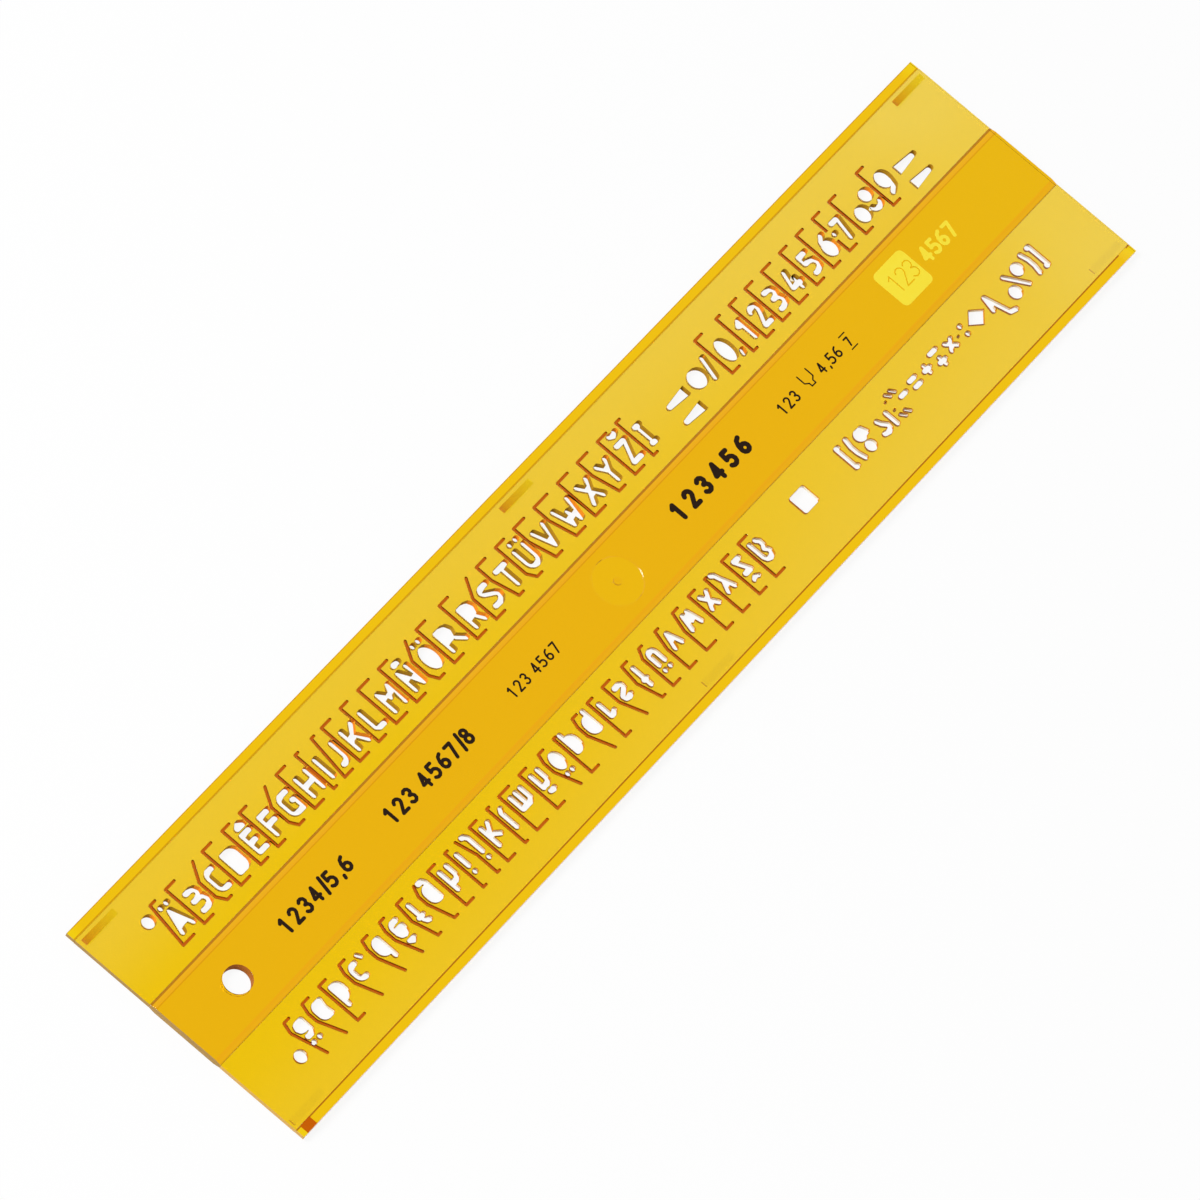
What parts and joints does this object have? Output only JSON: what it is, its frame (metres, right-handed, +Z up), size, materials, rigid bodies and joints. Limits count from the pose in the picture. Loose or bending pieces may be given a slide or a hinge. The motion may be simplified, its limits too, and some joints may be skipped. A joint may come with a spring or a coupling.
{
  "type": "lettering stencil",
  "caption": "Flat see-through amber lettering stencil with a thick centre band, capitals and figures cut through one wing, small letters and signs through the other, and edge rails.",
  "frame": {"origin": "middle of the plate's footprint, on the plane it rests on", "axes": "+X along the writing line, away from the hanging hole; +Y towards the capitals' edge; +Z up, out of the printed face"},
  "size_m": [0.205, 0.045, 0.0015],
  "materials": {
    "wing_plastic": "clear amber moulded plastic, polished",
    "band_plastic": "the same clear amber plastic in a thicker band, deeper in colour",
    "black_print": "thin black print",
    "yellow_foil": "thin bright yellow foil print"
  },
  "bodies": {
    "root": {"centre_band": "band_plastic", "capital_wing": "wing_plastic", "small_letter_wing": "wing_plastic", "capital_rail": "wing_plastic", "small_letter_rail": "wing_plastic", "capital_foot_1": "wing_plastic", "capital_foot_2": "wing_plastic", "capital_foot_3": "wing_plastic", "small_letter_foot_1": "wing_plastic", "small_letter_foot_2": "wing_plastic", "small_letter_foot_3": "wing_plastic", "figures_left": "black_print", "figures_middle": "black_print", "figures_small": "black_print", "figures_bold": "black_print", "size_key": "black_print", "foil_square": "yellow_foil", "foil_figures": "yellow_foil"}
  },
  "joints": []
}
